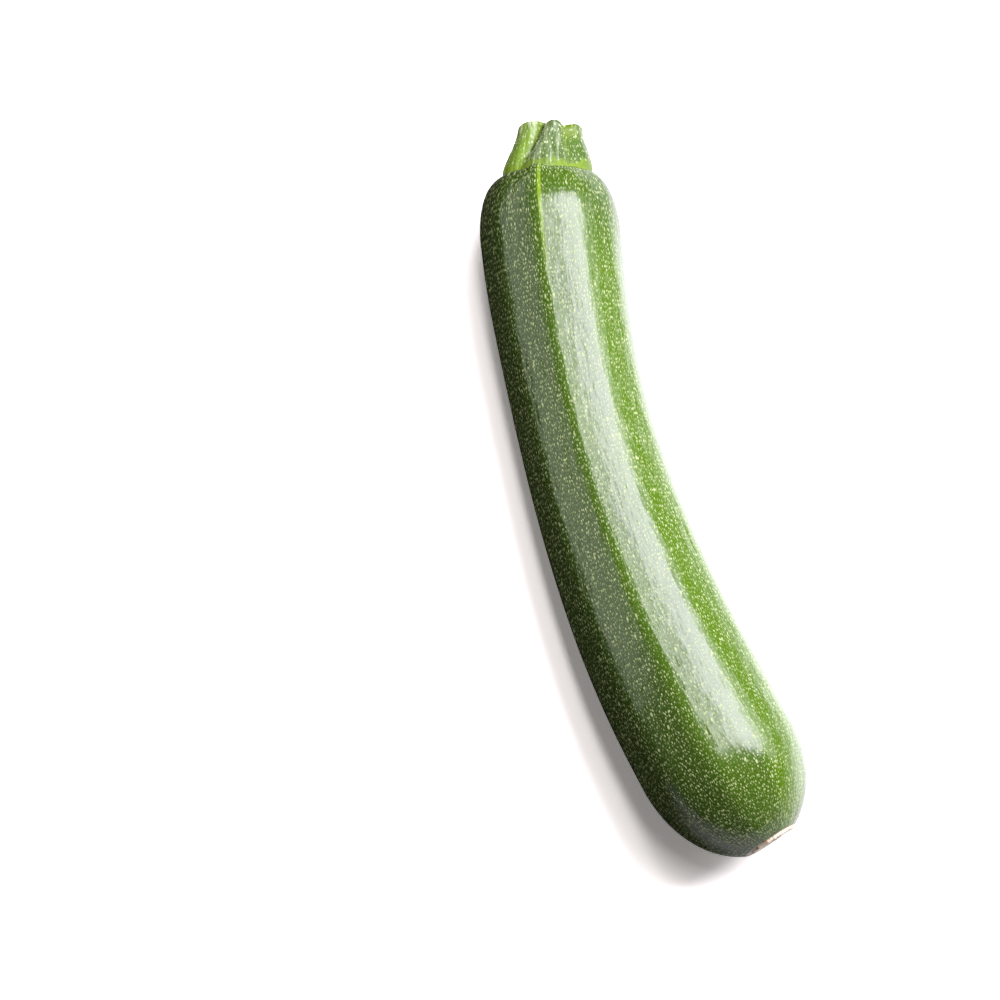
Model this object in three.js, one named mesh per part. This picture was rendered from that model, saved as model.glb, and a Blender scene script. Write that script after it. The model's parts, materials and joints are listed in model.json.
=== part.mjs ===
// A courgette: a softly ribbed fruit that lies on its side, with its short cut stem.
// Millimetres. The ground is z = 0, and the origin is under the middle of the courgette.
// The stem points to +Y, and the fruit's gentle bend is hollow on its +X side.
import * as THREE from 'three';

const { degToRad, lerp, smoothstep } = THREE.MathUtils;

// The fruit's axis is a level arc that runs from the stem's seat to the blossom scar.
const FRUIT_LENGTH = 189;
const BEND = degToRad(29.5);
const BEND_RADIUS = FRUIT_LENGTH / BEND;

// Distances along that axis from the seat, and the radius of the ridges there.
const SEAT_RADIUS = 12;
const SHOULDER = { at: 16.7, radius: 19.1 };
const NECK = { at: 60, radius: 18.3 };
const BELLY = { at: 150, radius: 21.6 };
const BLOSSOM_END_REACH = 28.8;

// Ten lengthwise ridges with nearly flat facets between them, sharp and soft by turns.
// Angles round the axis run from straight up towards +X.
const RIDGES = 10;
const RIDGE_SPAN = (2 * Math.PI) / RIDGES;
const RIDGE_TURN = degToRad(-12);
const SHARP_EDGE = degToRad(2.5);
const SOFT_EDGE = degToRad(6.5);
const FLATNESS = { seat: 0.5, middle: 0.78, scar: 0.15 };
const FLAT_FROM = 30;
const FADE = { from: 110, to: 186 };

// The dried blossom scar: a ragged rim, a shallow corky dish and a small nub.
const SCAR_RIM = { radius: 7.4, height: 0.5 };
const SCAR_DISH = { radius: 5.6, depth: 0.35 };
const SCAR_NUB = { radius: 1.3, height: 0.4 };

// The underside is pressed level by this much, so the fruit rests on a narrow flat strip.
const REST_CUT = 0.45;

// The stem flares to the seat, has five lobes and leans a little towards the hollow side.
const STEM_GAP = 0.3;
const STEM_SHIFT = 0.5;
const STEM_LENGTH = 13.8;
const STEM_FOOT_RADIUS = 12.2;
const STEM_TOP_RADIUS = 9.1;
const STEM_EDGE = 1.3;
const STEM_FOOT_EDGE = 0.5;
const STEM_LEAN = 1.2;

// Its cut end slopes down towards the hollow side, sinks in the middle and dips at grooves.
const CUT_SLOPE = 0.5;
const CUT_SINK = 0.5;
const GROOVE_DIP = 3.4;

// Grooves between the lobes: degrees round the stem at its foot and at its cut end,
// depth as a share of the radius, and width in degrees.
const GROOVES = [
  { foot: -43, top: -13, depth: 0.3, width: 12 },
  { foot: 29, top: 35, depth: 0.26, width: 15 },
  { foot: 101, top: 106, depth: 0.22, width: 16 },
  { foot: 173, top: 182, depth: 0.26, width: 14 },
  { foot: 245, top: 264, depth: 0.22, width: 17 },
];
const GROOVE_AT_FOOT = 0.3;

const FRUIT_COLUMNS = 40;
const STEM_COLUMNS = 60;

// Radius of the ridges without the rounded ends, at a distance along the axis.
function girth(along) {
  const toNeck = smoothstep(along, SHOULDER.at, NECK.at);
  const toBelly = smoothstep(along, NECK.at, BELLY.at);
  return lerp(SHOULDER.radius, NECK.radius, toNeck) + (BELLY.radius - NECK.radius) * toBelly;
}

// How flat the facets are between their ridges: 0 is a round fruit, 1 a ten-sided one.
function flatness(along) {
  const body = lerp(FLATNESS.seat, FLATNESS.middle, smoothstep(along, 0, FLAT_FROM));
  return lerp(body, FLATNESS.scar, smoothstep(along, FADE.from, FADE.to));
}

// Share of a ridge's radius that the surface has at an angle round the axis.
function ridged(angle, flat) {
  const turn = (angle - RIDGE_TURN) / RIDGE_SPAN;
  const sharpness = (1 + Math.cos(Math.PI * turn)) / 2;
  const edge = lerp(SOFT_EDGE, SHARP_EDGE, sharpness);
  const offRidge = Math.hypot((turn - Math.round(turn)) * RIDGE_SPAN, edge);
  const facet = Math.cos(RIDGE_SPAN / 2) / Math.cos(RIDGE_SPAN / 2 - offRidge);
  return lerp(1, facet, flat);
}

// Height of the axis that lets the underside of every section meet the ground.
function axisHeight(along) {
  const underside = ridged(Math.PI, flatness(along));
  return girth(along) * underside - REST_CUT;
}

// A closed solid turned round an axis. The profile holds radius and distance along the
// axis from one pole to the other, and place gives the point for them and an angle.
function turned(profile, columns, place) {
  const geometry = new THREE.LatheGeometry(profile, columns, RIDGE_TURN);
  const position = geometry.attributes.position;
  for (let column = 0; column <= columns; column++) {
    const angle = RIDGE_TURN + ((column % columns) / columns) * 2 * Math.PI;
    profile.forEach(({ x: radius, y: along }, row) => {
      const point = place(radius, along, angle);
      position.setXYZ(column * profile.length + row, point.x, point.y, point.z);
    });
  }
  geometry.computeVertexNormals();
  return geometry;
}

// Points of a curve between two parameters, as many steps as given, ends included.
function sampled(from, to, steps, curve) {
  return Array.from({ length: steps + 1 }, (_, i) => curve(lerp(from, to, i / steps)));
}

// The fruit's profile, as radius and distance from the seat, from the scar to the seat.
function fruitProfile() {
  const rimTurn = Math.acos(SCAR_RIM.radius / BELLY.radius);
  const endFrom = FRUIT_LENGTH - BLOSSOM_END_REACH * Math.sin(rimTurn);
  const scar = [
    [0, FRUIT_LENGTH + SCAR_NUB.height - SCAR_DISH.depth],
    [SCAR_NUB.radius, FRUIT_LENGTH - SCAR_DISH.depth],
    [SCAR_DISH.radius * 0.7, FRUIT_LENGTH - SCAR_DISH.depth],
    [SCAR_DISH.radius, FRUIT_LENGTH],
    [(SCAR_DISH.radius + SCAR_RIM.radius) / 2, FRUIT_LENGTH + SCAR_RIM.height],
    [SCAR_RIM.radius, FRUIT_LENGTH + SCAR_RIM.height * 0.6],
  ];
  const blossomEnd = sampled(rimTurn, 0, 14, (turn) => [
    BELLY.radius * Math.cos(turn),
    endFrom + BLOSSOM_END_REACH * Math.sin(turn),
  ]);
  const body = sampled(endFrom, SHOULDER.at, 30, (along) => [girth(along), along]);
  const shoulder = sampled(Math.PI / 2, 0, 9, (turn) => [
    SEAT_RADIUS + (SHOULDER.radius - SEAT_RADIUS) * Math.sin(turn),
    SHOULDER.at * (1 - Math.cos(turn)),
  ]);
  const seat = [
    [SEAT_RADIUS / 2, 0],
    [0, 0],
  ];
  const points = [...scar, ...blossomEnd, ...body.slice(1), ...shoulder.slice(1), ...seat];
  return points.map(([radius, along]) => new THREE.Vector2(radius, -along));
}

// A point of the fruit, bent round the arc and pressed level where it meets the ground.
function onFruit(radius, behind, angle) {
  const along = -behind;
  const distance = radius * ridged(angle, flatness(along));
  const turn = along / BEND_RADIUS - BEND / 2;
  const fromCentre = BEND_RADIUS - distance * Math.sin(angle);
  const height = axisHeight(along) + distance * Math.cos(angle);
  return new THREE.Vector3(
    BEND_RADIUS - fromCentre * Math.cos(turn),
    -fromCentre * Math.sin(turn),
    Math.max(height, 0),
  );
}

// The stem's profile, as radius and height over the seat, from its foot to its cut end.
function stemProfile() {
  const sideTop = STEM_LENGTH - STEM_EDGE;
  const side = sampled(STEM_FOOT_EDGE, sideTop, 12, (height) => [
    lerp(STEM_FOOT_RADIUS, STEM_TOP_RADIUS, smoothstep(height, 0, sideTop)),
    height,
  ]);
  const rim = sampled(0, Math.PI / 2, 4, (turn) => [
    STEM_TOP_RADIUS - STEM_EDGE * (1 - Math.cos(turn)),
    sideTop + STEM_EDGE * Math.sin(turn),
  ]);
  const foot = [
    [0, 0],
    [STEM_FOOT_RADIUS / 2, 0],
    [STEM_FOOT_RADIUS - STEM_FOOT_EDGE, 0],
  ];
  const cut = [
    [STEM_TOP_RADIUS * 0.65, STEM_LENGTH - CUT_SINK * 0.5],
    [STEM_TOP_RADIUS * 0.35, STEM_LENGTH - CUT_SINK],
    [0, STEM_LENGTH - CUT_SINK],
  ];
  return [...foot, ...side, ...rim.slice(1), ...cut].map(([x, y]) => new THREE.Vector2(x, y));
}

// How deep the grooves cut at an angle and at a share of the stem's height.
function grooved(angle, rise) {
  const cuts = GROOVES.map(({ foot, top, depth, width }) => {
    const centre = degToRad(lerp(foot, top, rise));
    const off = (2 * Math.sin((angle - centre) / 2)) / degToRad(width);
    return depth * Math.exp(-off * off);
  });
  return cuts.reduce((sum, cut) => sum + cut) * lerp(GROOVE_AT_FOOT, 1, rise);
}

// A point of the stem in its own frame, with the height that its uneven cut gives it.
function onStem(radius, height, angle) {
  const rise = height / STEM_LENGTH;
  const depth = grooved(angle, rise);
  const outward = Math.min(radius / STEM_TOP_RADIUS, 1);
  const distance = radius * (1 - depth);
  const uneven = CUT_SLOPE * Math.sin(angle) + GROOVE_DIP * depth;
  return new THREE.Vector3(
    distance * Math.sin(angle) + STEM_LEAN * rise,
    height - uneven * outward * smoothstep(rise, 0.5, 1),
    distance * Math.cos(angle),
  );
}

const skin = new THREE.MeshStandardMaterial({ color: 0x3f6a24, roughness: 0.3, metalness: 0 });
const stalk = new THREE.MeshStandardMaterial({ color: 0x7fa43a, roughness: 0.55, metalness: 0 });

const fruit = new THREE.Mesh(turned(fruitProfile(), FRUIT_COLUMNS, onFruit), skin);
fruit.name = 'fruit';

const stem = new THREE.Mesh(turned(stemProfile(), STEM_COLUMNS, onStem), stalk);
stem.name = 'stem';
const seatCentre = onFruit(0, 0, 0);
stem.rotation.z = -BEND / 2;
stem.position.set(STEM_SHIFT, STEM_GAP, 0).applyEuler(stem.rotation).add(seatCentre);

const courgette = new THREE.Group();
courgette.add(fruit, stem);
const middle = new THREE.Box3().setFromObject(courgette).getCenter(new THREE.Vector3());
courgette.position.set(-middle.x, -middle.y, 0);

export default courgette;
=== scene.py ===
# %% [markdown]
# A courgette is a young fruit, picked with a short piece of its stalk. Its form follows a rule:
# a round bar that bends a little, swells towards the blossom end and has ten soft ridges. So the
# fruit, the stem and the blossom scar are each grown by a Geometry Nodes tree from a few sizes,
# and their colours come from shader nodes that follow the same rule. Sculpting by hand would also
# give the form, but a rule keeps the ridges, the speckles and the bend in step with each other.
# The CAD model is loaded first: it fixes the place and the size of everything that is made here.

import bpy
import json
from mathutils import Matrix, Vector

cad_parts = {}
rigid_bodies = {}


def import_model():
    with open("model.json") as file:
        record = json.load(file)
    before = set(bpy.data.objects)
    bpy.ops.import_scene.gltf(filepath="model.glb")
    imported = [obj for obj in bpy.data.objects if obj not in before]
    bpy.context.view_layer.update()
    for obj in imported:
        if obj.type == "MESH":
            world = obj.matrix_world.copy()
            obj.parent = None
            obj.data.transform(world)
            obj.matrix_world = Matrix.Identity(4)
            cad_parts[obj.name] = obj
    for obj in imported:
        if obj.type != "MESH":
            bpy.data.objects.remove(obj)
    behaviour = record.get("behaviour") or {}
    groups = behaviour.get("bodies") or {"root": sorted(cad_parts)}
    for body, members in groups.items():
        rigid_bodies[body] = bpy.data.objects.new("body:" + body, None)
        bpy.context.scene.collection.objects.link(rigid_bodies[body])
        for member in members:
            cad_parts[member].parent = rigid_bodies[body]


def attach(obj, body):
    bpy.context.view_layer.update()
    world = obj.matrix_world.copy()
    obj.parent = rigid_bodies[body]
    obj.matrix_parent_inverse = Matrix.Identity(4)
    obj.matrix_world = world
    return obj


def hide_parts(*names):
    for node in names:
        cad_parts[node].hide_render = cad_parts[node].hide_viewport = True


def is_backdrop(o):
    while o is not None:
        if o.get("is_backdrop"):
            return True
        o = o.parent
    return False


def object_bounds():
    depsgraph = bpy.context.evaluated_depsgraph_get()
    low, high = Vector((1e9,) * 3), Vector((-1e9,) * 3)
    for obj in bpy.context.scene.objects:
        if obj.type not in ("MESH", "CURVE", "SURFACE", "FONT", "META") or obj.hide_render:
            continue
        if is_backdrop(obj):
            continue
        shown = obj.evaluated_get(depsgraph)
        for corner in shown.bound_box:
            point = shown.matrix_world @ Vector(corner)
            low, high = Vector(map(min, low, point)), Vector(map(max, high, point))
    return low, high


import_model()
cad_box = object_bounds()
print("CAD box, in metres:", [tuple(round(c, 4) for c in corner) for corner in cad_box])

# %% [markdown]
# Blender works in metres, so sizes that are easier to think of in millimetres are multiplied by
# MM. These are the driving sizes of the solids. Distances run along the bent axis, from the seat
# of the stem to the blossom scar, and angles round it run from straight up towards +X. The facets
# are flattest in the middle of the fruit and fade out towards the scar.

# %% Sizes of the fruit
import json
import math

import bpy
from mathutils import Matrix, Vector

MM = 0.001
FULL_TURN = 2 * math.pi
FRUIT_SIZES = {
    "Length": 189 * MM,
    "Bend": math.radians(29.5),
    "Seat Radius": 12 * MM,
    "Shoulder At": 16.7 * MM,
    "Shoulder Radius": 19.1 * MM,
    "Neck At": 60 * MM,
    "Neck Radius": 18.3 * MM,
    "Belly At": 150 * MM,
    "Belly Radius": 21.6 * MM,
    "Blossom End Reach": 28.8 * MM,
    "Scar Radius": 7.4 * MM,
    "Scar Recess": 0.8 * MM,
    "Rest Cut": 0.45 * MM,
    "Lumps": 0.2 * MM,
    "Tip": 0.9 * MM,
}
BEND = FRUIT_SIZES["Bend"]
BEND_RADIUS = FRUIT_SIZES["Length"] / BEND
RIDGES = 10
RIDGE_SPAN = FULL_TURN / RIDGES
RIDGE_TURN = math.radians(-12)
SHARP_EDGE = math.radians(4.4)
SOFT_EDGE = math.radians(6.5)
FLAT_AT_SEAT, FLAT_IN_MIDDLE, FLAT_AT_SCAR = 0.5, 0.78, 0.15
FLAT_FROM = 30 * MM
FADE_FROM, FADE_TO = 110 * MM, 186 * MM
ARC_MIDDLE = Vector((-4.125, -7.378, 0)) * MM
print("the axis bends with a radius of", round(BEND_RADIUS, 3), "m")

# %% [markdown]
# Both the shapes and the colours are sums over many nodes. Wiring them one by one would hide the
# formulas, so a small class wraps a node's output and lets Python's own signs add the Math
# nodes: `1 - mask` makes a Subtract node. Every other node comes from one method, `add`.

# %% A node's output that Python can reckon with
class Socket:
    """An output of a node. A sum with it adds the Math node that does the sum."""

    def __init__(self, tree, socket):
        self.tree = tree
        self.socket = socket

    def out(self, name):
        """Another output of the same node."""
        return Socket(self.tree, in_use(self.socket.node.outputs, name))

    def __add__(self, other):
        return self.tree.reckon("ADD", self, other)

    def __sub__(self, other):
        return self.tree.reckon("SUBTRACT", self, other)

    def __mul__(self, other):
        return self.tree.reckon("MULTIPLY", self, other)

    def __truediv__(self, other):
        return self.tree.reckon("DIVIDE", self, other)

    def __pow__(self, other):
        return self.tree.reckon("POWER", self, other)

    def __lt__(self, other):
        return self.tree.reckon("LESS_THAN", self, other)

    def __gt__(self, other):
        return self.tree.reckon("GREATER_THAN", self, other)

    def __rsub__(self, other):
        return self.tree.reckon("SUBTRACT", other, self)

    def __rtruediv__(self, other):
        return self.tree.reckon("DIVIDE", other, self)

    __radd__ = __add__
    __rmul__ = __mul__


def in_use(sockets, name):
    """The socket with that number or name, of those that the node's settings leave in use."""
    if isinstance(name, int):
        return sockets[name]
    return next(s for s in sockets if s.name == name and s.enabled and not s.is_unavailable)


class Tree:
    """A node tree in the making, for a shape or for a material."""

    def __init__(self, tree):
        self.tree = tree

    def add(self, kind, sockets=None, **settings):
        """Makes a node: first its settings, then the values or links that its sockets take."""
        node = self.tree.nodes.new(kind)
        for name, value in settings.items():
            setattr(node, name, value)
        for name, value in (sockets or {}).items():
            target = in_use(node.inputs, name)
            if isinstance(value, Socket):
                self.tree.links.new(value.socket, target)
            else:
                target.default_value = value
        outputs = [s for s in node.outputs if s.enabled and not s.is_unavailable]
        return Socket(self, outputs[0]) if outputs else None

    def reckon(self, operation, *values):
        """A sum that one Math node does."""
        return self.add("ShaderNodeMath", dict(enumerate(values)), operation=operation)

    def share(self, value, low, high, soft=False):
        """How far a value has come from low to high, as 0 to 1, with soft ends if asked."""
        sockets = {"Value": value, "From Min": low, "From Max": high}
        form = "SMOOTHSTEP" if soft else "LINEAR"
        return self.add("ShaderNodeMapRange", sockets, interpolation_type=form)

    def vector(self, x, y, z):
        """A vector of three numbers."""
        return self.add("ShaderNodeCombineXYZ", {"X": x, "Y": y, "Z": z})

    def parts(self, vector):
        """The three numbers of a vector."""
        split = self.add("ShaderNodeSeparateXYZ", {"Vector": vector})
        return split, split.out("Y"), split.out("Z")

    def stretched(self, vector, scale):
        """A vector times a scale for each of its directions."""
        return self.add("ShaderNodeVectorMath", {0: vector, 1: scale}, operation="MULTIPLY")

    def noise(self, place, size, detail=2.0, roughness=0.5):
        """Soft noise round 0, from about -1 to 1, with lumps of about the given size."""
        sockets = {"Vector": place, "Scale": 1 / size, "Detail": detail, "Roughness": roughness}
        return self.add("ShaderNodeTexNoise", sockets) * 2 - 1


def mid(start, end, share):
    """The value that lies a share of the way from start to end."""
    return start + (end - start) * share


# %% [markdown]
# A Geometry Nodes tree gets a named input for each size, so the same tree could grow another
# courgette. Its result is kept as a plain mesh: the modifier's inputs are set by their
# identifiers, the object is evaluated once, and the modifier is gone before the piece is used.

# %% Helpers that build a tree and run it
SEAM_GAP = 2e-6


def shape_tree(name, sizes):
    """A Geometry Nodes tree with a mesh input and a named input for each size."""
    group = bpy.data.node_groups.new(name, "GeometryNodeTree")
    group.interface.new_socket("Mesh", in_out="INPUT", socket_type="NodeSocketGeometry")
    for label, value in sizes.items():
        kind = "NodeSocketInt" if isinstance(value, int) else "NodeSocketFloat"
        group.interface.new_socket(label, in_out="INPUT", socket_type=kind)
    group.interface.new_socket("Result", in_out="OUTPUT", socket_type="NodeSocketGeometry")
    tree = Tree(group)
    return tree, tree.add("NodeGroupInput")


def end_tree(tree, geometry, material):
    """Ends a tree: real geometry, smooth faces and one material."""
    real = tree.add("GeometryNodeRealizeInstances", {"Geometry": geometry})
    smooth = tree.add("GeometryNodeSetShadeSmooth", {"Geometry": real})
    finished = tree.add("GeometryNodeSetMaterial", {"Geometry": smooth, "Material": material})
    tree.add("NodeGroupOutput", {"Result": finished})


def grown(name, tree, sizes, start=None):
    """Runs a tree, on a copy of start's mesh if given, and keeps the result as a piece."""
    mesh = start.data.copy() if start else bpy.data.meshes.new(name)
    piece = bpy.data.objects.new(name, mesh)
    bpy.context.scene.collection.objects.link(piece)
    modifier = piece.modifiers.new("rule", "NODES")
    modifier.node_group = tree.tree
    for item in tree.tree.interface.items_tree:
        if item.in_out == "INPUT" and item.name in sizes:
            modifier[item.identifier] = sizes[item.name]
    ready = bpy.context.evaluated_depsgraph_get()
    result = bpy.data.meshes.new_from_object(piece.evaluated_get(ready), depsgraph=ready)
    piece.modifiers.remove(modifier)
    piece.data = result
    result.name = name
    print(name, "has", len(result.vertices), "points and", len(result.polygons), "faces")
    return piece


def flat_sheet(tree, rings, columns):
    """A grid to roll up, with how far each of its points lies along it and round it."""
    sockets = {"Size X": 1.0, "Size Y": 1.0, "Vertices X": rings, "Vertices Y": columns}
    grid = tree.add("GeometryNodeMeshGrid", sockets)
    along, across, _ = tree.parts(tree.add("GeometryNodeInputPosition"))
    return grid, along + 0.5, across + 0.5


def rolled_up(tree, sheet, position, notes):
    """Writes notes on the sheet's points, moves them into place and closes the seams."""
    for name, (kind, value) in notes.items():
        sockets = {"Geometry": sheet, "Name": name, "Value": value}
        sheet = tree.add("GeometryNodeStoreNamedAttribute", sockets, data_type=kind)
    placed = tree.add("GeometryNodeSetPosition", {"Geometry": sheet, "Position": position})
    return tree.add("GeometryNodeMergeByDistance", {"Geometry": placed, "Distance": SEAM_GAP})


def stretches(tree, run, ends):
    """Splits a run from 0 to 1 into stretches, each with its own share from 0 to 1."""
    return [tree.share(run, low, high) for low, high in zip([0.0, *ends], ends)]


# %% [markdown]
# The skin's ten ridges come from the formula of a polygon with softened corners: on a facet the
# surface keeps its distance from the facet's own line, so it stays nearly flat between ridges.
# Sharp and soft ridges take turns, as they do on the real fruit.

# %% The formula of the ridges
def facets(tree, turn):
    """Share of a ridge's radius that a flat facet leaves; turn counts ridges round the axis."""
    sharpness = (tree.reckon("COSINE", turn * math.pi) + 1) * 0.5
    edge = mid(SOFT_EDGE, SHARP_EDGE, sharpness)
    off_ridge = (turn - tree.reckon("ROUND", turn)) * RIDGE_SPAN
    off = tree.reckon("SQRT", off_ridge * off_ridge + edge * edge)
    return math.cos(RIDGE_SPAN / 2) / tree.reckon("COSINE", RIDGE_SPAN / 2 - off)


def facets_below():
    """The same share for the fruit's lowest line, as a plain number."""
    turn = (math.pi - RIDGE_TURN) / RIDGE_SPAN
    sharpness = (math.cos(turn * math.pi) + 1) / 2
    edge = mid(SOFT_EDGE, SHARP_EDGE, sharpness)
    off = math.hypot((turn - round(turn)) * RIDGE_SPAN, edge)
    return math.cos(RIDGE_SPAN / 2) / math.cos(RIDGE_SPAN / 2 - off)


print("lowest line at", round(facets_below(), 4), "of the ridges' radius")

# %% [markdown]
# The fruit starts as a flat grid. One way across it becomes the distance from the middle of the
# seat to the middle of the scar, and the other way the angle round the axis. Seat, shoulder,
# body, blossom end and scar are stretches of the grid that join without a step. The seat has a
# small tip where the top ridge runs up to the stem, and the scar's ground is sunk, to make room
# for the cork. Each point also notes its place on the unbent fruit as `grain`, because the
# speckles follow the growth of the skin: they are drawn out along the fruit, most of all near
# the stem, and crowd together where its ends round off.

# %% The fruit's rule
FRUIT_STRETCHES = (0.03, 0.15, 0.71, 0.97, 1.0)
FRUIT_GRID = {"Rings": 381, "Columns": 261}
# The share of the scar's stretch over which its ground sinks, and how far down the tip fades.
RECESS_STEP = (0.2, 0.35)
TIP_REACH = 6 * MM
LUMP_SIZE, LUMP_SQUEEZE = 15 * MM, 0.45
# How the grain crowds on the rounded ends, and is drawn out over the first part by the stem.
GRAIN_RADIUS = 20 * MM
GRAIN_CROWDING = 0.5
YOUNG_REACH, YOUNG_STRETCH = 32 * MM, 0.45


def fruit_tree(material):
    tree, size = shape_tree("fruit_rule", {**FRUIT_SIZES, **FRUIT_GRID})
    sheet, run, turn = flat_sheet(tree, size.out("Rings"), size.out("Columns"))
    seat, shoulder, body, blossom, scar = stretches(tree, run, FRUIT_STRETCHES)
    seat_radius, belly_radius = size.out("Seat Radius"), size.out("Belly Radius")
    shoulder_at, shoulder_radius = size.out("Shoulder At"), size.out("Shoulder Radius")
    reach = size.out("Blossom End Reach")

    rim_turn = tree.reckon("ARCCOSINE", size.out("Scar Radius") / belly_radius)
    end_from = size.out("Length") - reach * tree.reckon("SINE", rim_turn)
    rounding, end_turn = shoulder * (math.pi / 2), blossom * rim_turn
    along = (
        shoulder_at * (1 - tree.reckon("COSINE", rounding))
        + (end_from - shoulder_at) * body
        + reach * tree.reckon("SINE", end_turn)
        - tree.share(scar, *RECESS_STEP) * size.out("Scar Recess")
    )

    to_neck = tree.share(along, shoulder_at, size.out("Neck At"), soft=True)
    to_belly = tree.share(along, size.out("Neck At"), size.out("Belly At"), soft=True)
    neck_radius = size.out("Neck Radius")
    girth = mid(shoulder_radius, neck_radius, to_neck) + (belly_radius - neck_radius) * to_belly
    drop = (shoulder_radius - seat_radius) * (1 - tree.reckon("SINE", rounding))
    drop = drop + seat_radius * (1 - seat)
    closing = tree.reckon("COSINE", end_turn) * (1 - scar)
    radius = (girth - drop) * closing

    from_seat = tree.share(along, 0.0, FLAT_FROM, soft=True)
    to_scar = tree.share(along, FADE_FROM, FADE_TO, soft=True)
    flatness = mid(mid(FLAT_AT_SEAT, FLAT_IN_MIDDLE, from_seat), FLAT_AT_SCAR, to_scar)
    ridge = turn * RIDGES
    distance = radius * mid(1, facets(tree, ridge), flatness)
    height = girth * mid(1, facets_below(), flatness) - size.out("Rest Cut")
    off_first = RIDGES / 2 - tree.reckon("ABSOLUTE", ridge - RIDGES / 2)
    tip = tree.share(off_first, 0.5, 0.0, soft=True) * tree.share(seat, 0.8, 1.0)
    tip = tip * tree.share(along, TIP_REACH, 0.0, soft=True)

    angle = turn * FULL_TURN + RIDGE_TURN
    sideways, upwards = tree.reckon("SINE", angle), tree.reckon("COSINE", angle)
    steady = tree.vector(sideways * girth, along * LUMP_SQUEEZE, upwards * girth)
    lumps = tree.noise(steady, LUMP_SIZE) * size.out("Lumps") * seat * closing
    distance = distance + lumps
    young = tree.share(along, 0.0, YOUNG_REACH)
    drawn_out = young * (1 - young * 0.5) * (YOUNG_REACH * YOUNG_STRETCH)
    end_drop = belly_radius - belly_radius * closing
    grain_along = along - drop * GRAIN_CROWDING + end_drop * GRAIN_CROWDING - drawn_out
    grain = tree.vector(sideways * GRAIN_RADIUS, grain_along, upwards * GRAIN_RADIUS)

    along = along - tip * size.out("Tip")
    way = along / (size.out("Length") / size.out("Bend")) - size.out("Bend") / 2
    from_centre = BEND_RADIUS - distance * sideways
    position = tree.vector(
        BEND_RADIUS - from_centre * tree.reckon("COSINE", way),
        from_centre * tree.reckon("SINE", way) * -1,
        tree.reckon("MAXIMUM", height + distance * upwards, 0.0),
    )
    notes = {
        "grain": ("FLOAT_VECTOR", grain),
        "along": ("FLOAT", along),
        "radius": ("FLOAT", radius),
    }
    end_tree(tree, rolled_up(tree, sheet, position, notes), material)
    return tree


# %% [markdown]
# The stem is the cut stalk. It flares to the seat, and grooves run up between its five lobes,
# turning a little. It is rolled up from a grid as the fruit is, because a lathe alone can't turn
# lobes. Sums of soft dips make the grooves, and a narrow crease follows the deepest of them,
# where two lobes fold together. Fine ribs and a wider warp run up its sides.

# %% Sizes of the stem
STEM_SIZES = {
    "Length": 13.8 * MM,
    "Foot Radius": 12.2 * MM,
    "Top Radius": 9.1 * MM,
    "Edge": 1.3 * MM,
    "Root": 1.2 * MM,
    "Lean": 1.2 * MM,
    "Slope": 0.5 * MM,
    "Groove Dip": 3.4 * MM,
    "Cut Sink": 0.5 * MM,
    "Ribs": 0.3 * MM,
}
STEM_GRID = {"Rings": 241, "Columns": 301}
STEM_STRETCHES = (0.05, 0.66, 0.75, 1.0)
STEM_PLACE = Vector((0.5, 0.3, 0)) * MM
# Each groove: degrees round the stem at its foot and at its cut end, depth as a share of the
# radius, and width in degrees.
GROOVES = (
    (-43, -13, 0.30, 12),
    (29, 35, 0.26, 15),
    (101, 106, 0.22, 16),
    (173, 182, 0.26, 14),
    (245, 264, 0.22, 17),
)
# The crease is given in the same way, and deepens over this share of the stem's height.
CREASE = (-44, -12, 0.09, 3.2)
CREASE_RISE = (0.12, 0.45)
# What is left of a groove's depth at the foot, and of the first groove's dip at the cut.
GROOVE_AT_FOOT = 0.3
FOLD_DIP = 0.35
RIB_SIZE, RIB_SQUEEZE = 2.2 * MM, 0.16
WARP_SIZE, WARP_SQUEEZE, WARP_SHARE = 6 * MM, 0.5, 1.6
print("the stem has", len(GROOVES), "lobes")


# %% The stem's rule
def groove_depth(tree, angle, rise, groove):
    """How deep one groove cuts, as a share of the radius."""
    foot, top, depth, width = groove
    centre = mid(math.radians(foot), math.radians(top), rise)
    off = tree.reckon("SINE", (angle - centre) * 0.5) * (2 / math.radians(width))
    return tree.reckon("EXPONENT", off * off * -1) * depth


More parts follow.
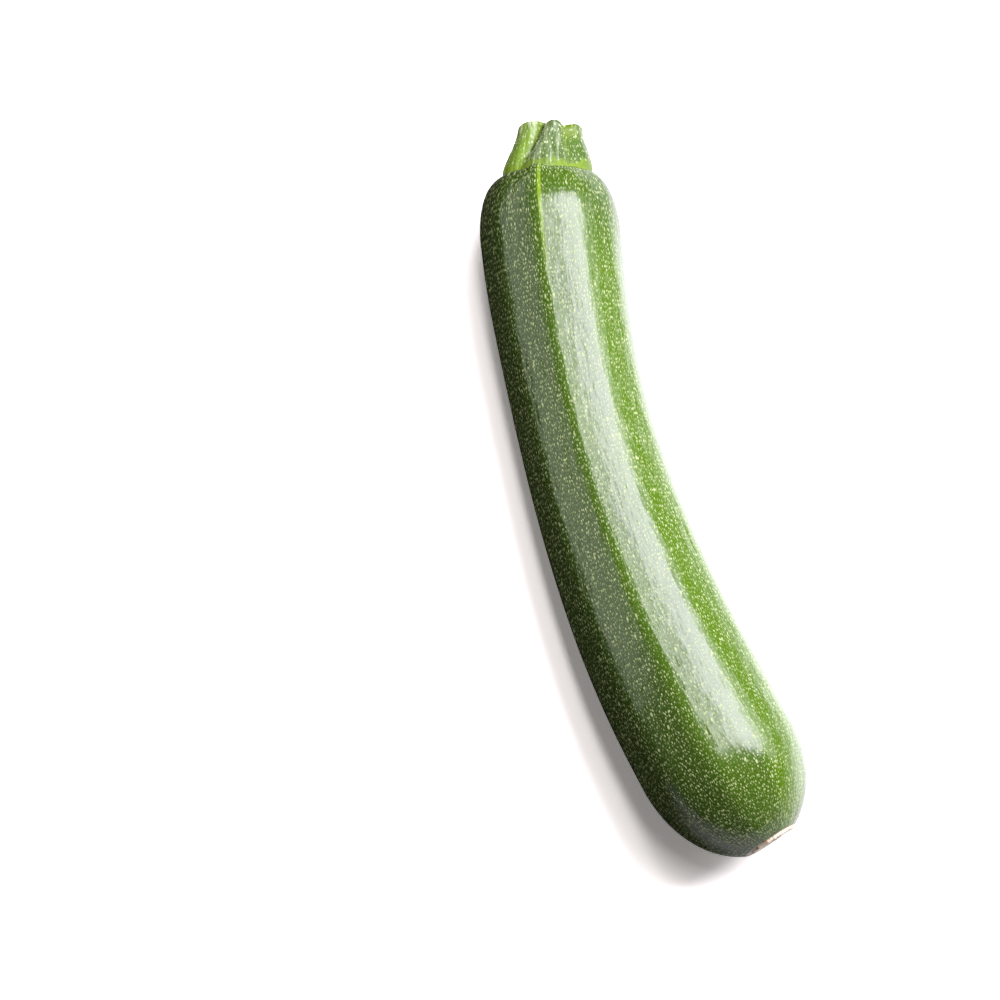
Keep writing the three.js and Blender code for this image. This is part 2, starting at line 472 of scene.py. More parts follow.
def stem_tree(material):
    tree, size = shape_tree("stem_rule", {**STEM_SIZES, **STEM_GRID})
    sheet, run, turn = flat_sheet(tree, size.out("Rings"), size.out("Columns"))
    foot, side, rim, cut = stretches(tree, run, STEM_STRETCHES)
    foot_radius, top_radius, edge = (
        size.out("Foot Radius"), size.out("Top Radius"), size.out("Edge")
    )
    angle, rim_turn = turn * FULL_TURN, rim * (math.pi / 2)

    side_top = size.out("Length") - edge
    height = mid(size.out("Root") * -1, side_top, side) + edge * tree.reckon("SINE", rim_turn)
    dish = tree.share(cut, 0.0, 0.7, soft=True)
    height = height - dish * size.out("Cut Sink")
    taper = tree.share(height, 0.0, side_top, soft=True)
    round_edge = edge * (1 - tree.reckon("COSINE", rim_turn))
    radius = (mid(foot_radius, top_radius, taper) - round_edge) * foot * (1 - cut)

    rise = tree.reckon("MAXIMUM", height / size.out("Length"), 0.0)
    first, *others = [groove_depth(tree, angle, rise, groove) for groove in GROOVES]
    depth = sum(others) * mid(GROOVE_AT_FOOT, 1, rise)
    dip = depth + first * FOLD_DIP
    depth = depth + first * mid(GROOVE_AT_FOOT, 1, rise)
    crease = groove_depth(tree, angle, rise, CREASE) * tree.share(rise, *CREASE_RISE, soft=True)

    sideways, upwards = tree.reckon("SINE", angle), tree.reckon("COSINE", angle)
    grain = tree.vector(sideways * foot_radius, height, upwards * foot_radius)
    ribs = tree.noise(tree.stretched(grain, (1, RIB_SQUEEZE, 1)), RIB_SIZE, detail=3.0)
    warp = tree.noise(tree.stretched(grain, (1, WARP_SQUEEZE, 1)), WARP_SIZE)
    relief = (ribs + warp * WARP_SHARE) * size.out("Ribs") * (1 - cut) * foot
    distance = radius * (1 - depth - crease) + relief
    outward = tree.reckon("MINIMUM", radius / top_radius, 1.0)
    uneven = size.out("Slope") * sideways + size.out("Groove Dip") * dip
    level = height - uneven * outward * tree.share(rise, 0.5, 1.0, soft=True)
    position = tree.vector(
        distance * sideways + size.out("Lean") * rise, level, distance * upwards
    )
    notes = {
        "grain": ("FLOAT_VECTOR", grain),
        "rise": ("FLOAT", rise),
        "groove": ("FLOAT", depth + crease * 2),
        "cut": ("FLOAT", cut),
    }
    end_tree(tree, rolled_up(tree, sheet, position, notes), material)
    return tree


# %% [markdown]
# The blossom scar is what the dried flower leaves: a thin corky disc with a ragged rim, a
# shallow dish, folds that run in to the middle and the stub of the style. It is grown the same
# way, as a closed button that sinks a little into the fruit, with noise round the rim so that no
# two parts of it are alike. It sits a little off the middle and slightly tilted.

# %% The blossom scar's rule
SCAR_SIZES = {
    "Radius": 6.6 * MM,
    "Rim Height": 0.45 * MM,
    "Dish Radius": 4.9 * MM,
    "Dish Depth": 0.3 * MM,
    "Nub Radius": 1.5 * MM,
    "Nub Height": 0.55 * MM,
    "Sunk": 0.9 * MM,
    "Ragged": 0.9 * MM,
    "Folds": 0.16 * MM,
}
SCAR_GRID = {"Rings": 121, "Columns": 241}
SCAR_STRETCHES = (0.08, 0.2, 1.0)
RING_RADIUS = 5 * MM
CORK_RELIEF = 0.14 * MM
SCAR_PLACE, SCAR_TILT = Vector((0.8, 0, 0)) * MM, math.radians(5)


def scar_tree(material):
    tree, size = shape_tree("scar_rule", {**SCAR_SIZES, **SCAR_GRID})
    sheet, run, turn = flat_sheet(tree, size.out("Rings"), size.out("Columns"))
    back, wall, front = stretches(tree, run, SCAR_STRETCHES)
    angle = turn * FULL_TURN
    sideways, upwards = tree.reckon("SINE", angle), tree.reckon("COSINE", angle)
    ring = tree.vector(sideways * RING_RADIUS, 0.0, upwards * RING_RADIUS)
    ragged = tree.noise(ring, 2.5 * MM, detail=4.0, roughness=0.65)
    jagged = tree.noise(ring, 0.9 * MM)

    inward = 1 - front
    radius = size.out("Radius") * back * inward
    place = tree.vector(sideways * radius, 0.0, upwards * radius)
    grained = tree.noise(place, 1.1 * MM, detail=4.0)
    dish_radius, nub_radius = size.out("Dish Radius"), size.out("Nub Radius")
    rim = tree.share(radius, dish_radius * 0.86, dish_radius * 1.12, soft=True)
    fall = tree.share(radius, size.out("Radius") * 0.88, size.out("Radius"), soft=True)
    rim_height = size.out("Rim Height") * (1 + ragged * 0.9 + jagged * 0.3)
    nub = tree.share(radius, nub_radius * 1.3, nub_radius * 0.3, soft=True)
    folds = tree.noise(ring, 0.7 * MM, detail=3.0) * (1 - nub) * inward
    relief = (
        mid(size.out("Dish Depth") * -1, rim_height, rim) * (1 - fall * 0.8)
        + folds * size.out("Folds")
        + nub * size.out("Nub Height") * (1 + grained * 0.5)
        + grained * CORK_RELIEF
    )
    out = mid(size.out("Sunk") * -1, relief, wall)
    distance = radius + (ragged * 0.7 + jagged * 0.3) * size.out("Ragged") * rim * back
    position = tree.vector(distance * sideways, out * -1, distance * upwards)
    notes = {"grain": ("FLOAT_VECTOR", place), "rim": ("FLOAT", rim), "nub": ("FLOAT", nub)}
    end_tree(tree, rolled_up(tree, sheet, position, notes), material)
    return tree


# %% [markdown]
# Each material starts the same way: an empty tree, a Principled shader that gets its numbers on
# its own sockets, and an output. Marks such as speckles come from a Voronoi texture. The skin is
# laid flat first, round the piece in x and along it in y, and points are scattered over it. Near
# enough to a point there is a mark. Squeezing the flat skin along the fruit draws the marks out,
# and each point's own random number makes its mark larger or smaller, as they are in nature.

# %% Helpers for the materials
MARK_SOFTNESS = 0.5


def new_material(name):
    """An empty material and its tree."""
    material = bpy.data.materials.new(name)
    material.use_nodes = True
    material.node_tree.nodes.clear()
    return material, Tree(material.node_tree)


def note(tree, name):
    """A note that the piece's points carry."""
    return tree.add("ShaderNodeAttribute", attribute_name=name)


def blend(tree, share, first, second):
    """A colour that goes from the first to the second as the share goes from 0 to 1."""
    sockets = {"Factor": share, "A": first, "B": second}
    return tree.add("ShaderNodeMix", sockets, data_type="RGBA")


def tone(red, green, blue):
    """A colour without transparency, in linear light."""
    return (red, green, blue, 1)


def unrolled(tree, grain, radius, squeeze):
    """The skin laid flat: round the piece in x, and along it in y, squeezed by a share."""
    x, along, z = tree.parts(grain)
    return tree.vector(tree.reckon("ARCTAN2", x, z) * radius, along * squeeze, 0.0)


def marks(tree, place, kind, thick=1.0):
    """Round marks at scattered points of a plane, and a number of its own for each mark."""
    spacing, radius, kept = kind
    sockets = {"Vector": place, "Scale": 1 / spacing, "Randomness": 1.0}
    points = tree.add("ShaderNodeTexVoronoi", sockets, voronoi_dimensions="2D")
    chance, vigour, _ = tree.parts(points.out("Color"))
    radius = radius * thick
    reach = mid(0.75 * radius, 1.2 * radius, vigour)
    outer, inner = reach * (1 + MARK_SOFTNESS * 0.5), reach * (1 - MARK_SOFTNESS)
    edge = tree.share(points * spacing, outer, inner, soft=True)
    return edge * (chance < kept), vigour


def finish_material(tree, sockets, height):
    """Ends a material with a Principled shader and its relief, given in metres."""
    bump = tree.add("ShaderNodeBump", {"Distance": 1.0, "Height": height})
    shader = tree.add("ShaderNodeBsdfPrincipled", {**sockets, "Normal": bump})
    tree.add("ShaderNodeOutputMaterial", {"Surface": shader})


# %% [markdown]
# The skin is dark green under a thin natural wax. Its pale yellow-green speckles are groups of
# cells without chlorophyll, drawn out along the fruit. Three sizes of marks make them: the even
# field of speckles, sparse larger flecks, and fine dust between. The top ridge carries a yellower
# line near the stem. The flank to the right of it is painted a lighter green, as painted light,
# and the left side is painted a darker green, as painted shade. Round the scar the skin
# is torn and has healed brown. The wax gives a smooth gloss, and shallow streaks and dents in it
# make the edges of the highlights run a little, as they do on a grown thing. A painted image
# could carry all this, but nodes that read the grain stay sharp and follow the form everywhere.

# %% The skin
SKIN_GREEN = tone(0.056, 0.113, 0.006)
SKIN_DEEP = tone(0.034, 0.077, 0.005)
SKIN_PAINTED_LIGHT = tone(0.062, 0.130, 0.002)
SKIN_YELLOWED = tone(0.17, 0.28, 0.010)
SKIN_PAINTED_SHADE = tone(0.020, 0.038, 0.004)
SKIN_CALLUS = tone(0.30, 0.15, 0.04)
SPECKLE = tone(0.43, 0.49, 0.22)
# Marks: their spacing and radius, and the share of the points that carry one.
SPECKLES = (0.52 * MM, 0.135 * MM, 0.95)
FLECKS = (2.6 * MM, 0.25 * MM, 0.25)
DUST = (0.5 * MM, 0.1 * MM, 0.6)
SPECKLE_SQUEEZE, DUST_SQUEEZE = 0.44, 0.6
# Where the skin changes: in ridges round the fruit from the top one, or in distances.
PAINTED_LIGHT_FROM, PAINTED_LIGHT_TO = (0.8, 1.15), (2.3, 1.9)
PLAIN_FROM = (1.95, 2.25)
PAINTED_LIGHT_FADE = (6 * MM, 34 * MM)
LINE_AT, LINE_ENDS = 0.1, (36 * MM, 6 * MM)
CALLUS_RADIUS, CALLUS_FROM = (7.6 * MM, 7.2 * MM), (170 * MM, 180 * MM)
# Heights of the relief in metres.
FINE_RELIEF, STREAK_RELIEF, DENT_RELIEF, SPECKLE_RELIEF = 9e-6, 48e-6, 120e-6, 4e-6


def skin_material():
    material, tree = new_material("waxy_green_skin")
    grain = note(tree, "grain").out("Vector")
    along = note(tree, "along").out("Fac")
    radius = note(tree, "radius").out("Fac")
    x, _, z = tree.parts(grain)
    turn = (tree.reckon("ARCTAN2", x, z) - RIDGE_TURN) / RIDGE_SPAN
    off_first = tree.reckon("ABSOLUTE", turn)

    flat = unrolled(tree, grain, GRAIN_RADIUS, SPECKLE_SQUEEZE)
    waver = tree.noise(tree.stretched(grain, (1, 0.3, 1)), 4 * MM, detail=3.0)
    thick = (GRAIN_RADIUS / radius) ** 0.5
    field, vigour = marks(tree, flat, SPECKLES, thick)
    flecks, _ = marks(tree, flat, FLECKS, thick)
    dust, _ = marks(tree, unrolled(tree, grain, GRAIN_RADIUS, DUST_SQUEEZE), DUST)
    field = field * mid(0.16, 1.0, vigour ** 1.5) * (0.9 + waver * 0.5)
    pale = tree.reckon("MAXIMUM", field, flecks * 0.8)
    pale = tree.reckon("MAXIMUM", pale, dust * 0.25)
    pale = pale * tree.share(radius, 5 * MM, 11 * MM)
    pale = pale * (1 - tree.share(turn, *PLAIN_FROM, soft=True) * 0.5)

    mottle = tree.noise(tree.stretched(grain, (1, 0.2, 1)), 7 * MM, detail=4.0)
    base = blend(tree, tree.share(mottle, -0.5, 0.5), SKIN_DEEP, SKIN_GREEN)
    # Painted light: the flank right of the top ridge is blended to a lighter green, fading out
    # towards the stem.
    painted_light_flank = tree.share(turn, *PAINTED_LIGHT_FROM, soft=True) * tree.share(turn, *PAINTED_LIGHT_TO, soft=True)
    painted_light_fade = tree.share(along, *PAINTED_LIGHT_FADE, soft=True)
    base = blend(tree, painted_light_flank * painted_light_fade, base, SKIN_PAINTED_LIGHT)
    # Painted shade: the left side, and most of all the far left, is blended to a darker green.
    shade = tree.share(turn, 0.05, -0.25) * 0.6 + tree.share(turn, -0.8, -1.3) * 0.4
    base = blend(tree, shade, base, SKIN_PAINTED_SHADE)
    line = tree.share(tree.reckon("ABSOLUTE", turn - LINE_AT), 0.07, 0.02, soft=True)
    line = line * tree.share(along, *LINE_ENDS, soft=True) * (0.8 + waver)
    base = blend(tree, line, base, SKIN_YELLOWED)
    colour = blend(tree, tree.reckon("MINIMUM", pale, 1.0), base, SPECKLE)
    torn = radius + tree.noise(grain, 4 * MM, detail=4.0) * 1.4 * MM
    callus = tree.share(torn, *CALLUS_RADIUS) * tree.share(along, *CALLUS_FROM)
    callus = callus * tree.share(mottle + waver * 0.5, -0.5, 0.1)
    colour = blend(tree, callus, colour, SKIN_CALLUS)

    fine = tree.noise(grain, 0.4 * MM) * FINE_RELIEF
    streaks = tree.noise(tree.stretched(grain, (1, 0.15, 1)), 1.2 * MM) * STREAK_RELIEF
    dents = tree.noise(tree.stretched(grain, (1, 0.35, 1)), 2.6 * MM) * DENT_RELIEF
    dents = dents * tree.share(off_first, 0.1, 0.3)
    relief = fine + streaks + dents + pale * SPECKLE_RELIEF
    rough = tree.noise(tree.stretched(grain, (1, 0.4, 1)), 3 * MM, detail=3.0)
    sockets = {
        "Base Color": colour,
        "Roughness": 0.16 + rough * 0.05 + pale * 0.5,
        "IOR": 1.5,
    }
    finish_material(tree, sockets, relief)
    return material


waxy_skin = skin_material()
print("skin nodes:", len(waxy_skin.node_tree.nodes))

# %% [markdown]
# The stalk is lighter and yellower than the skin. Its lobes are pale where the surface has
# dried and rubbed, bright lime in the grooves and in a band at the very foot, and covered with
# pale raised flecks. The lobe to the left of the fold is fresh, the middle one dull, and a deep
# green recess parts the middle one from the right. The right lobe is painted a little paler, as a
# painted highlight. The fold itself is painted dark, as painted shade in the crease, with a worn
# lip along it. The cut end shows pith with a ring of sap vessels, drying to straw colour.

# %% The stalk
STALK_GREEN = tone(0.040, 0.085, 0.008)
STALK_PALE = tone(0.10, 0.155, 0.045)
STALK_FRESH = tone(0.14, 0.24, 0.014)
STALK_WORN_AND_HIGHLIGHT = tone(0.52, 0.56, 0.40)
STALK_LIME = tone(0.10, 0.17, 0.0003)
STALK_BAND = tone(0.15, 0.24, 0.0003)
STALK_DEEP = tone(0.05, 0.11, 0.003)
STALK_PAINTED_SHADE = tone(0.018, 0.032, 0.006)
STALK_FLECK = tone(0.55, 0.62, 0.34)
PITH = tone(0.55, 0.58, 0.34)
STRAW = tone(0.42, 0.33, 0.15)
STALK_FLECKS = (0.75 * MM, 0.2 * MM, 0.9)
STALK_SQUEEZE = 0.55
# Degrees round the stalk, from straight up towards the right, between which a change runs.
RIGHT_LOBE_HIGHLIGHT_FROM = (54, 68)
RECESS_FROM, RECESS_TO = (28, 36), (62, 50)
LIP_AT = 0.11


def turned_past(tree, angle, low, high):
    """How far an angle has come from low to high, in degrees, as 0 to 1 with soft ends."""
    return tree.share(angle, math.radians(low), math.radians(high), soft=True)


def cut_face(tree, x, z, cut):
    """The colour of the cut and its relief: pith, a ring of vessels and a dried edge."""
    face = tree.vector(x * (1 - cut), 0.0, z * (1 - cut))
    vessels = tree.noise(face, 0.8 * MM, detail=4.0)
    ring = tree.share(cut, 0.1, 0.3, soft=True) * tree.share(cut, 0.55, 0.35, soft=True)
    cells = tree.share(tree.noise(face, 1.2 * MM, detail=1.0), 0.0, 0.3, soft=True)
    end = blend(tree, tree.share(vessels, -0.4, 0.5), PITH, STALK_PALE)
    end = blend(tree, ring * cells * 0.8, end, STALK_GREEN)
    return blend(tree, tree.share(cut, 0.14, 0.0) * 0.7, end, STRAW), vessels


def stalk_material():
    material, tree = new_material("fibrous_green_stalk")
    grain = note(tree, "grain").out("Vector")
    rise = note(tree, "rise").out("Fac")
    groove = note(tree, "groove").out("Fac")
    cut = note(tree, "cut").out("Fac")

    patches = tree.noise(tree.stretched(grain, (1, 0.35, 1)), 3.5 * MM, detail=4.0)
    fibres = tree.noise(tree.stretched(grain, (1, 0.07, 1)), 0.7 * MM, detail=3.0)
    x, _, z = tree.parts(grain)
    angle = tree.reckon("ARCTAN2", x, z)
    crease_at = mid(math.radians(CREASE[0]), math.radians(CREASE[1]), rise)
    off_crease = angle - crease_at
    left_lobe = tree.share(off_crease, 0.05, -0.05)
    dull = blend(tree, tree.share(patches + fibres * 0.8, -0.3, 0.5), STALK_GREEN, STALK_PALE)
    rubbed = tree.share(fibres * 0.8 + patches, 0.05, 0.75, soft=True) * 0.6
    dull = blend(tree, rubbed, dull, STALK_WORN_AND_HIGHLIGHT)
    worn = tree.share(patches + fibres * 0.4, 0.03, 0.25, soft=True) * 0.8
    fresh = blend(tree, worn, STALK_FRESH, STALK_WORN_AND_HIGHLIGHT)
    # Painted highlight: the right lobe is blended a little towards the pale worn colour.
    right_lobe_highlight = turned_past(tree, angle, *RIGHT_LOBE_HIGHLIGHT_FROM) * 0.2
    side = blend(tree, right_lobe_highlight, blend(tree, left_lobe, dull, fresh), STALK_WORN_AND_HIGHLIGHT)
    side = blend(tree, tree.share(groove, 0.06, 0.2, soft=True), side, STALK_LIME)
    recess = turned_past(tree, angle, *RECESS_FROM) * turned_past(tree, angle, *RECESS_TO)
    side = blend(tree, recess * 0.9, side, STALK_DEEP)
    side = blend(tree, recess * tree.share(rise + patches * 0.2, 0.55, 0.75), side, STALK_LIME)
    ragged = tree.noise(grain, 4 * MM, detail=3.0)
    band = tree.share(rise + (ragged + fibres * 0.5) * 0.3, 0.17, 0.09, soft=True)
    clumped = tree.share(ragged - patches * 0.5, -0.3, 0.1, soft=True)
    side = blend(tree, band * mid(0.35, 0.95, clumped), side, STALK_BAND)
    flat = unrolled(tree, grain, STEM_SIZES["Foot Radius"], STALK_SQUEEZE)
    flecks, vigour = marks(tree, flat, STALK_FLECKS)
    flecks = flecks * mid(0.1, 1.0, vigour * vigour) * (1 - band * 0.9)
    side = blend(tree, flecks, side, STALK_FLECK)
    upper = tree.share(rise, 0.15, 0.4, soft=True)
    lip = tree.share(tree.reckon("ABSOLUTE", off_crease - LIP_AT), 0.06, 0.02, soft=True)
    side = blend(tree, lip * upper * 0.6, side, STALK_WORN_AND_HIGHLIGHT)
    # Painted shade: the crease between two lobes is blended to a near-black green.
    painted_crease_shade = tree.share(tree.reckon("ABSOLUTE", off_crease), 0.07, 0.03, soft=True)
    side = blend(tree, painted_crease_shade * upper * 0.9, side, STALK_PAINTED_SHADE)

    end, vessels = cut_face(tree, x, z, cut)
    colour = blend(tree, tree.share(cut, 0.0, 0.04), side, end)

    height = fibres * 60e-6 + flecks * 20e-6 + patches * 180e-6 + vessels * 40e-6
    sockets = {
        "Base Color": colour,
        "Roughness": 0.34 + groove * 0.7 + patches * 0.06 + band * 0.3,
        "IOR": 1.45,
    }
    finish_material(tree, sockets, height)
    return material


fibrous_stalk = stalk_material()
print("stalk nodes:", len(fibrous_stalk.node_tree.nodes))

# %% [markdown]
# The scar is dead, corky tissue: pale beige with tan patches in the dish, orange-brown to dark
# brown along its torn rim, with fine fibres that run out from the middle. Noise on the direction
# from the middle, and not on the place, makes those fibres.

# %% The cork of the scar
CORK_PALE = tone(0.80, 0.66, 0.47)
CORK_LIGHT = tone(0.92, 0.84, 0.70)
CORK_TAN = tone(0.42, 0.27, 0.14)
CORK_ORANGE = tone(0.45, 0.20, 0.05)
CORK_BROWN = tone(0.10, 0.06, 0.03)


def cork_material():
    material, tree = new_material("dry_corky_scar")
    grain = note(tree, "grain").out("Vector")
    rim = note(tree, "rim").out("Fac")
    nub = note(tree, "nub").out("Fac")
    x, _, z = tree.parts(grain)
    spokes = tree.reckon("ARCTAN2", x, z)
    rays = tree.vector(tree.reckon("SINE", spokes), tree.reckon("COSINE", spokes), 0.0)
    fibres = tree.noise(rays, 0.06, detail=3.0)
    from_middle = tree.reckon("SQRT", x * x + z * z)
    edge = tree.share(from_middle, 5.5 * MM, 6.6 * MM)
    clouds = tree.noise(grain, 1.6 * MM, detail=5.0, roughness=0.6)
    base = blend(tree, tree.share(clouds + fibres * 0.6, -0.6, 0.6), CORK_PALE, CORK_LIGHT)
    dry = tree.share(clouds * 0.8 - fibres, 0.15, 0.6) * tree.share(from_middle, 6 * MM, 2 * MM)
    base = blend(tree, dry * 0.7, base, CORK_TAN)
    burnt = rim * 0.25 + edge * 0.35 + clouds * 1.2 + fibres * 0.5
    colour = blend(tree, tree.share(burnt, 0.55, 0.95, soft=True), base, CORK_ORANGE)
    colour = blend(tree, tree.share(burnt, 0.95, 1.35, soft=True), colour, CORK_BROWN)
    colour = blend(tree, nub * 0.7, colour, CORK_ORANGE)
    height = clouds * 120e-6 + fibres * 60e-6
    finish_material(tree, {"Base Color": colour, "Roughness": 0.9, "IOR": 1.3}, height)
    return material


dry_cork = cork_material()
print("cork nodes:", len(dry_cork.node_tree.nodes))

# %% [markdown]
# Now the three trees are run. The stem and the scar are grown in a frame of their own, upright
# on the fruit's axis, and then turned by half the bend to sit on its two ends.

# %% Grow the fruit, the stem and the scar
def on_axis(along):
    """The frame of the fruit's axis: X is sideways, Y points back to the stem, Z is up."""
    way = along / BEND_RADIUS - BEND / 2
    flat = FLAT_AT_SEAT if along == 0 else FLAT_AT_SCAR
    girth = FRUIT_SIZES["Shoulder Radius" if along == 0 else "Belly Radius"]
    height = girth * mid(1, facets_below(), flat) - FRUIT_SIZES["Rest Cut"]
    point = Vector((1 - math.cos(way), -math.sin(way), 0)) * BEND_RADIUS + ARC_MIDDLE
    return Matrix.Translation(point + Vector((0, 0, height))) @ Matrix.Rotation(way, 4, "Z")


fruit = grown("ribbed_fruit", fruit_tree(waxy_skin), {**FRUIT_SIZES, **FRUIT_GRID})
fruit.data.transform(Matrix.Translation(ARC_MIDDLE))
stem = grown("lobed_stem", stem_tree(fibrous_stalk), {**STEM_SIZES, **STEM_GRID})
stem.data.transform(on_axis(0) @ Matrix.Translation(STEM_PLACE))
scar = grown("blossom_scar", scar_tree(dry_cork), {**SCAR_SIZES, **SCAR_GRID})
scar_frame = on_axis(FRUIT_SIZES["Length"]) @ Matrix.Translation(SCAR_PLACE)
scar.data.transform(scar_frame @ Matrix.Rotation(SCAR_TILT, 4, "X"))


def volume(mesh):
    """The volume inside a closed mesh in cubic centimetres, below 0 if it is inside out."""
    mesh.calc_loop_triangles()
    points = [v.co for v in mesh.vertices]
    corners = [[points[i] for i in triangle.vertices] for triangle in mesh.loop_triangles]
    return sum(a.dot(b.cross(c)) for a, b, c in corners) / 6 * 1e6


for piece, node in ((fruit, "fruit"), (stem, "stem"), (scar, None)):
    if volume(piece.data) < 0:
        piece.data.flip_normals()
    low = [min(v.co[i] for v in piece.data.vertices) for i in range(3)]
    high = [max(v.co[i] for v in piece.data.vertices) for i in range(3)]
    print(piece.name, "volume", round(volume(piece.data), 2), "cm3")
    print("  from", [round(c, 4) for c in low], "to", [round(c, 4) for c in high])

# %% [markdown]
# A young stalk carries short prickly hairs. Points are scattered over the stem's side, and a
# thin three-sided cone stands on each, a little tilted and with its own length. Hair curves would
# be easier to comb, but only real faces are sure to reach the exported model.

# %% The stem's hairs
HAIR_SIZES = {"Density": 1.6e6, "Hair Length": 0.55 * MM, "Hair Radius": 0.045 * MM, "Seed": 7}
HAIR_TILT = 0.5
HAIR_SHORTEST, HAIR_LONGEST = 0.5, 1.3
HAIR_GREEN = tone(0.45, 0.6, 0.2)
HAIR_PALE = tone(0.7, 0.8, 0.45)


def hair_tree(material):
    tree, size = shape_tree("hair_rule", HAIR_SIZES)
    rise = tree.add("GeometryNodeInputNamedAttribute", {"Name": "rise"}, data_type="FLOAT")
    cut = tree.add("GeometryNodeInputNamedAttribute", {"Name": "cut"}, data_type="FLOAT")
    on_side = (rise > 0.1) * (rise < 0.98) * (cut < 0.01)
    scatter = {"Mesh": size, "Density": size.out("Density") * on_side, "Seed": size.out("Seed")}
    points = tree.add("GeometryNodeDistributePointsOnFaces", scatter)
    hair = {
        "Vertices": 3,
        "Radius Top": 0.0,
        "Radius Bottom": size.out("Hair Radius"),
        "Depth": size.out("Hair Length"),
    }
    cone = tree.add("GeometryNodeMeshCone", hair)
    tilts = {
        "Min": (-HAIR_TILT, -HAIR_TILT, 0),
        "Max": (HAIR_TILT, HAIR_TILT, 0),
        "Seed": size.out("Seed"),
    }
    tilt = tree.add("FunctionNodeRandomValue", tilts, data_type="FLOAT_VECTOR")
    upright = {"Rotation": points.out("Rotation"), "Rotate By": tilt}
    turned = tree.add("FunctionNodeRotateEuler", upright, rotation_type="EULER")
    spread = {"Min": HAIR_SHORTEST, "Max": HAIR_LONGEST, "Seed": size.out("Seed")}
    lengths = tree.add("FunctionNodeRandomValue", spread)
    standing = {
        "Points": points,
        "Instance": cone,
        "Rotation": turned,
        "Scale": tree.vector(1.0, 1.0, lengths),
    }
    end_tree(tree, tree.add("GeometryNodeInstanceOnPoints", standing), material)
    return tree


def hair_material():
    material, tree = new_material("pale_stalk_hair")
    place = tree.add("ShaderNodeTexCoord").out("Object")
    shade = tree.share(tree.noise(place, 2 * MM), -0.5, 0.5)
    colour = blend(tree, shade, HAIR_GREEN, HAIR_PALE)
    shader = tree.add("ShaderNodeBsdfPrincipled", {"Base Color": colour, "Roughness": 0.5})
    tree.add("ShaderNodeOutputMaterial", {"Surface": shader})
    return material


hairs = grown("stem_hairs", hair_tree(hair_material()), HAIR_SIZES, start=stem)

# %% [markdown]
# Every piece rides on the courgette's one body. The fruit and the stem stand for their solids,
# and the scar and the hairs are finer detail on them.

# %% Tie the pieces to the frame
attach(fruit, "root")
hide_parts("fruit")
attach(stem, "root")
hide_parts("stem")
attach(scar, "root")
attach(hairs, "root")
print("tied to the body:", [piece.name for piece in (fruit, stem, scar, hairs)])

# %% [markdown]
# The setting is a bright photo table. To the camera its floor is an even white. The fruit's skin
# is a soft mirror, though, and it mirrors an uneven table: a dark one on its left side, and a
# bright one along its right rim. One even colour would wash out the left side. So to all but the
# camera the floor is painted with shade and light: it runs from painted shade on the left to
# painted light, brighter than white, on the right, by the distance beside the fruit's axis, and
# is painted dimmer past its two ends.

# %% The floor
FLOOR_HALF, FLOOR_DROP = 2.5, 0.05 * MM
FLOOR_SEEN = tone(1.75, 1.66, 1.62)
FLOOR_PAINTED_SHADE = tone(0.02, 0.02, 0.015)
FLOOR_LIT = tone(0.9, 0.9, 0.88)
FLOOR_PAINTED_LIGHT = tone(1.95, 1.93, 1.95)
FLOOR_PAINTED_DIM = tone(0.5, 0.5, 0.5)
FLOOR_FAR = tone(0.4, 0.4, 0.4)


def floor_material():
    material, tree = new_material("white_table")
    x, y, _ = tree.parts(tree.add("ShaderNodeTexCoord").out("Object"))
    x, y = x - (BEND_RADIUS + ARC_MIDDLE.x), y - ARC_MIDDLE.y
    beside = BEND_RADIUS - tree.reckon("SQRT", x * x + y * y)
    near = tree.share(beside, -24 * MM, 10 * MM, soft=True)
    bright = tree.share(beside, 17 * MM, 60 * MM, soft=True)
    far = tree.share(beside, 90 * MM, 220 * MM, soft=True)
    past_stem = tree.share(y, 62 * MM, 100 * MM, soft=True)
    past_scar = tree.share(y, -95 * MM, -135 * MM, soft=True)
    # Painted shade and painted light for all but the camera: dark on the left, brighter than
    # white on the right, dimmer past the ends.
    lit = blend(tree, near, FLOOR_PAINTED_SHADE, FLOOR_LIT)
    lit = blend(tree, bright, lit, FLOOR_PAINTED_LIGHT)
    lit = blend(tree, past_stem * near * 0.8, lit, FLOOR_PAINTED_DIM)
    lit = blend(tree, past_scar, lit, FLOOR_PAINTED_DIM)
    lit = blend(tree, far, lit, FLOOR_FAR)
    unseen = tree.add("ShaderNodeBsdfDiffuse", {"Color": lit})
    seen = tree.add("ShaderNodeBsdfDiffuse", {"Color": FLOOR_SEEN})
    camera_ray = tree.add("ShaderNodeLightPath").out("Is Camera Ray")
    table = tree.add("ShaderNodeMixShader", {0: camera_ray, 1: unseen, 2: seen})
    tree.add("ShaderNodeOutputMaterial", {"Surface": table})
    return material


sides = ((-1, -1), (1, -1), (1, 1), (-1, 1))
corners = [(x * FLOOR_HALF, y * FLOOR_HALF, -FLOOR_DROP) for x, y in sides]
floor_mesh = bpy.data.meshes.new("floor")
floor_mesh.from_pydata(corners, [], [(0, 1, 2, 3)])
floor_mesh.materials.append(floor_material())
floor = bpy.data.objects.new("floor", floor_mesh)
bpy.context.scene.collection.objects.link(floor)
floor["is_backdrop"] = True
print("floor:", 2 * FLOOR_HALF, "m wide,", round(FLOOR_DROP / MM, 3), "mm under the fruit")

# %% [markdown]
# The light comes from level panels overhead. Each highlight on the fruit is a panel's reflection,
# so a panel is given by the angles from straight up that it fills, sideways and along the fruit,
# and by how bright it is. Two wide key panels make the broad highlight, a thin line panel beside
# them the streak along the top ridge, and a dim panel low on the left the haze on the left facet.
# The dark gap between the line and the left panel keeps the ridge there deep green. The world
# is white to the camera and nearly dark to everything else, so it lays no haze on the skin.

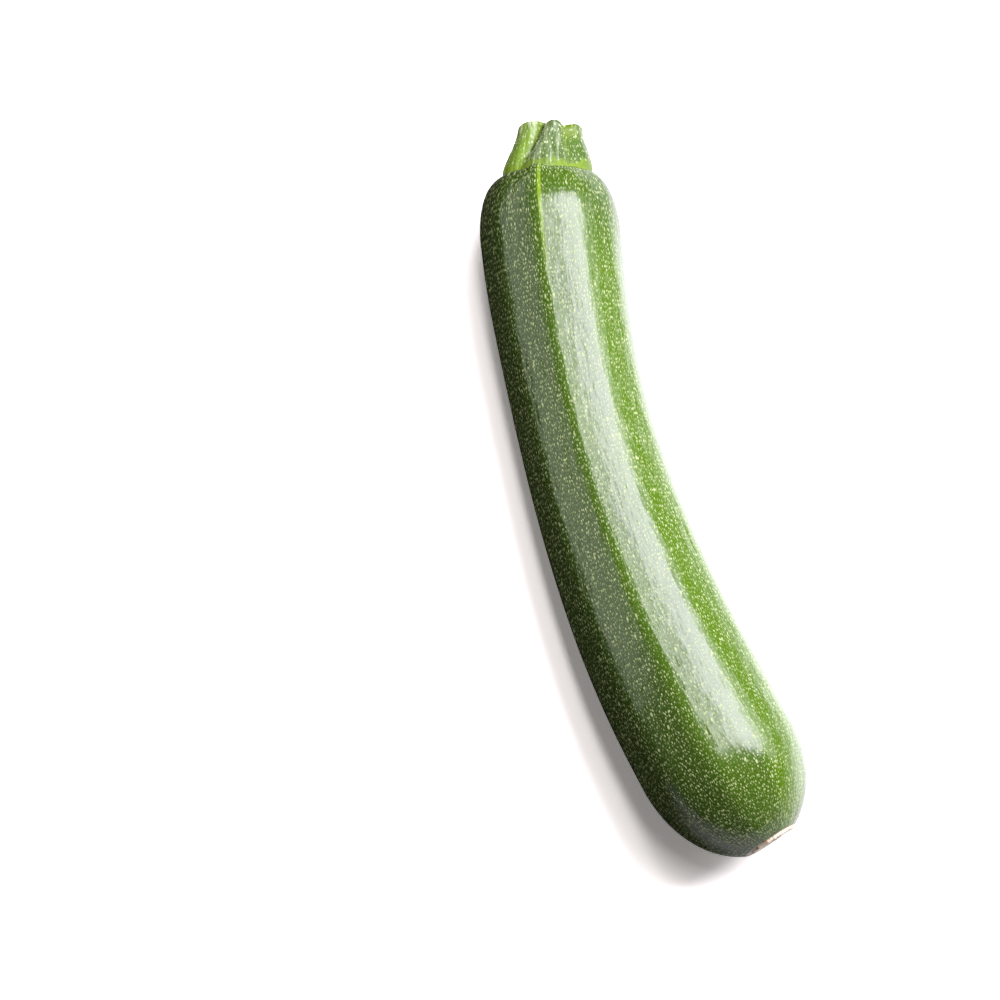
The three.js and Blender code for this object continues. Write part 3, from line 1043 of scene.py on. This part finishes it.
# %% The lights
ROOM_HEIGHT = 1.2
WHITE, COOL = (1, 1, 1), (0.92, 0.885, 1.0)
ROOM_LIGHT, ROOM_STRENGTH = tone(0.97, 0.98, 1.0), 0.05


def panel(name, x_angles, y_angles, radiance, tint=WHITE):
    """A level light panel overhead that fills those angles from straight up, in degrees."""
    low_x, high_x, low_y, high_y = (
        ROOM_HEIGHT * math.tan(math.radians(angle)) for angle in (*x_angles, *y_angles)
    )
    light = bpy.data.lights.new(name, "AREA")
    light.shape = "RECTANGLE"
    light.size, light.size_y = high_x - low_x, high_y - low_y
    light.energy = radiance * math.pi * light.size * light.size_y
    light.color = tint
    box = bpy.data.objects.new(name, light)
    bpy.context.scene.collection.objects.link(box)
    box.location = ((low_x + high_x) / 2, (low_y + high_y) / 2, ROOM_HEIGHT)
    print(name, "is", round(light.size, 2), "by", round(light.size_y, 2), "m")


panel("panel_line", (1.5, 7), (-6, 35), 15.0)
panel("panel_haze", (7, 14), (-6, 35), 2.0)
panel("panel_key", (14, 30), (-3, 36), 14.6, COOL)
panel("panel_key_right", (30, 50), (-9, 36), 16.5, COOL)
panel("panel_edge", (50, 63), (-6, 38), 8.5)
panel("panel_side", (63, 78), (-25, 50), 3.6)
panel("panel_left", (-78, -42), (12, 81), 1.75)

world = bpy.data.worlds.new("bright_room")
bpy.context.scene.world = world
world.use_nodes = True
world.node_tree.nodes.clear()
room = Tree(world.node_tree)
dim = room.add("ShaderNodeBackground", {"Color": ROOM_LIGHT, "Strength": ROOM_STRENGTH})
white = room.add("ShaderNodeBackground", {"Color": tone(*WHITE), "Strength": 1.0})
camera_ray = room.add("ShaderNodeLightPath").out("Is Camera Ray")
backdrop = room.add("ShaderNodeMixShader", {0: camera_ray, 1: dim, 2: white})
room.add("ShaderNodeOutputWorld", {"Surface": backdrop})

# %% [markdown]
# The camera looks down steeply, from the blossom end's side, with a long lens. Its place was
# found by setting the outline of the solids against that of the real courgette.

# %% The camera
CAMERA_AZIMUTH, CAMERA_ELEVATION = math.radians(-17.81), math.radians(77)
CAMERA_DISTANCE, LENS, SENSOR_WIDTH = 1.3, 176.4, 36
LOOKS_AT = Vector((-29.21, 10.53, 0)) * MM

camera_data = bpy.data.cameras.new("camera")
camera_data.sensor_width = SENSOR_WIDTH
camera_data.lens = LENS
camera = bpy.data.objects.new("camera", camera_data)
bpy.context.scene.collection.objects.link(camera)
back = Vector((
    math.sin(CAMERA_AZIMUTH) * math.cos(CAMERA_ELEVATION),
    -math.cos(CAMERA_AZIMUTH) * math.cos(CAMERA_ELEVATION),
    math.sin(CAMERA_ELEVATION),
))
camera.location = LOOKS_AT + back * CAMERA_DISTANCE
camera.rotation_euler = back.to_track_quat("Z", "Y").to_euler()
bpy.context.scene.camera = camera
bpy.context.scene.view_settings.view_transform = "Standard"
print("camera at", [round(c, 3) for c in camera.location])

# %% [markdown]
# Last, the size of the dressed courgette is set beside that of the CAD model.

# %% Set the sizes side by side
sizes = {
    "cad": [list(corner) for corner in cad_box],
    "visual": [list(corner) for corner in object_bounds()],
}
for name, box in sizes.items():
    print(name, "size in mm:", [round((high - low) / MM, 2) for low, high in zip(*box)])
